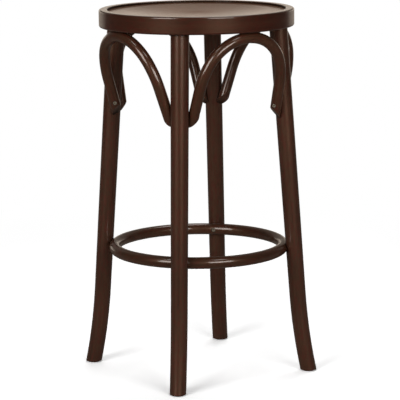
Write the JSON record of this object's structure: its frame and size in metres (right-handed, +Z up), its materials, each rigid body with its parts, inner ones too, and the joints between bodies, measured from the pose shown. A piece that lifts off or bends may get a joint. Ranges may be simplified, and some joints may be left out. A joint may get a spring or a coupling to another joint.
{
  "type": "bentwood counter stool",
  "caption": "Backless bentwood counter stool: round rimmed seat on splayed round legs, with bent arches under the rim and a round foot ring.",
  "frame": {"origin": "on the floor under the middle of the seat", "axes": "+Z up; the legs stand on the diagonals between the X and Y axes, and -Y is the front"},
  "size_m": [0.35, 0.35, 0.66],
  "materials": {
    "rim_wood": "satin",
    "panel_wood": "satin",
    "leg_wood": "satin",
    "arch_wood": "satin",
    "ring_wood": "satin",
    "glide_plastic": "matte",
    "screw_steel": "satin",
    "nail_steel": "satin"
  },
  "bodies": {
    "root": {"seat_rim": "rim_wood", "seat_panel": "panel_wood", "foot_ring": "ring_wood", "leg_front_right": "leg_wood", "glide_front_right": "glide_plastic", "leg_back_right": "leg_wood", "glide_back_right": "glide_plastic", "leg_back_left": "leg_wood", "glide_back_left": "glide_plastic", "leg_front_left": "leg_wood", "glide_front_left": "glide_plastic", "arch_front": "arch_wood", "arch_right": "arch_wood", "arch_back": "arch_wood", "arch_left": "arch_wood", "foot_ring_screws": "screw_steel", "tenon_screws": "screw_steel", "arch_top_screws": "screw_steel", "arch_end_screws": "screw_steel", "glide_nails": "nail_steel"}
  },
  "joints": []
}
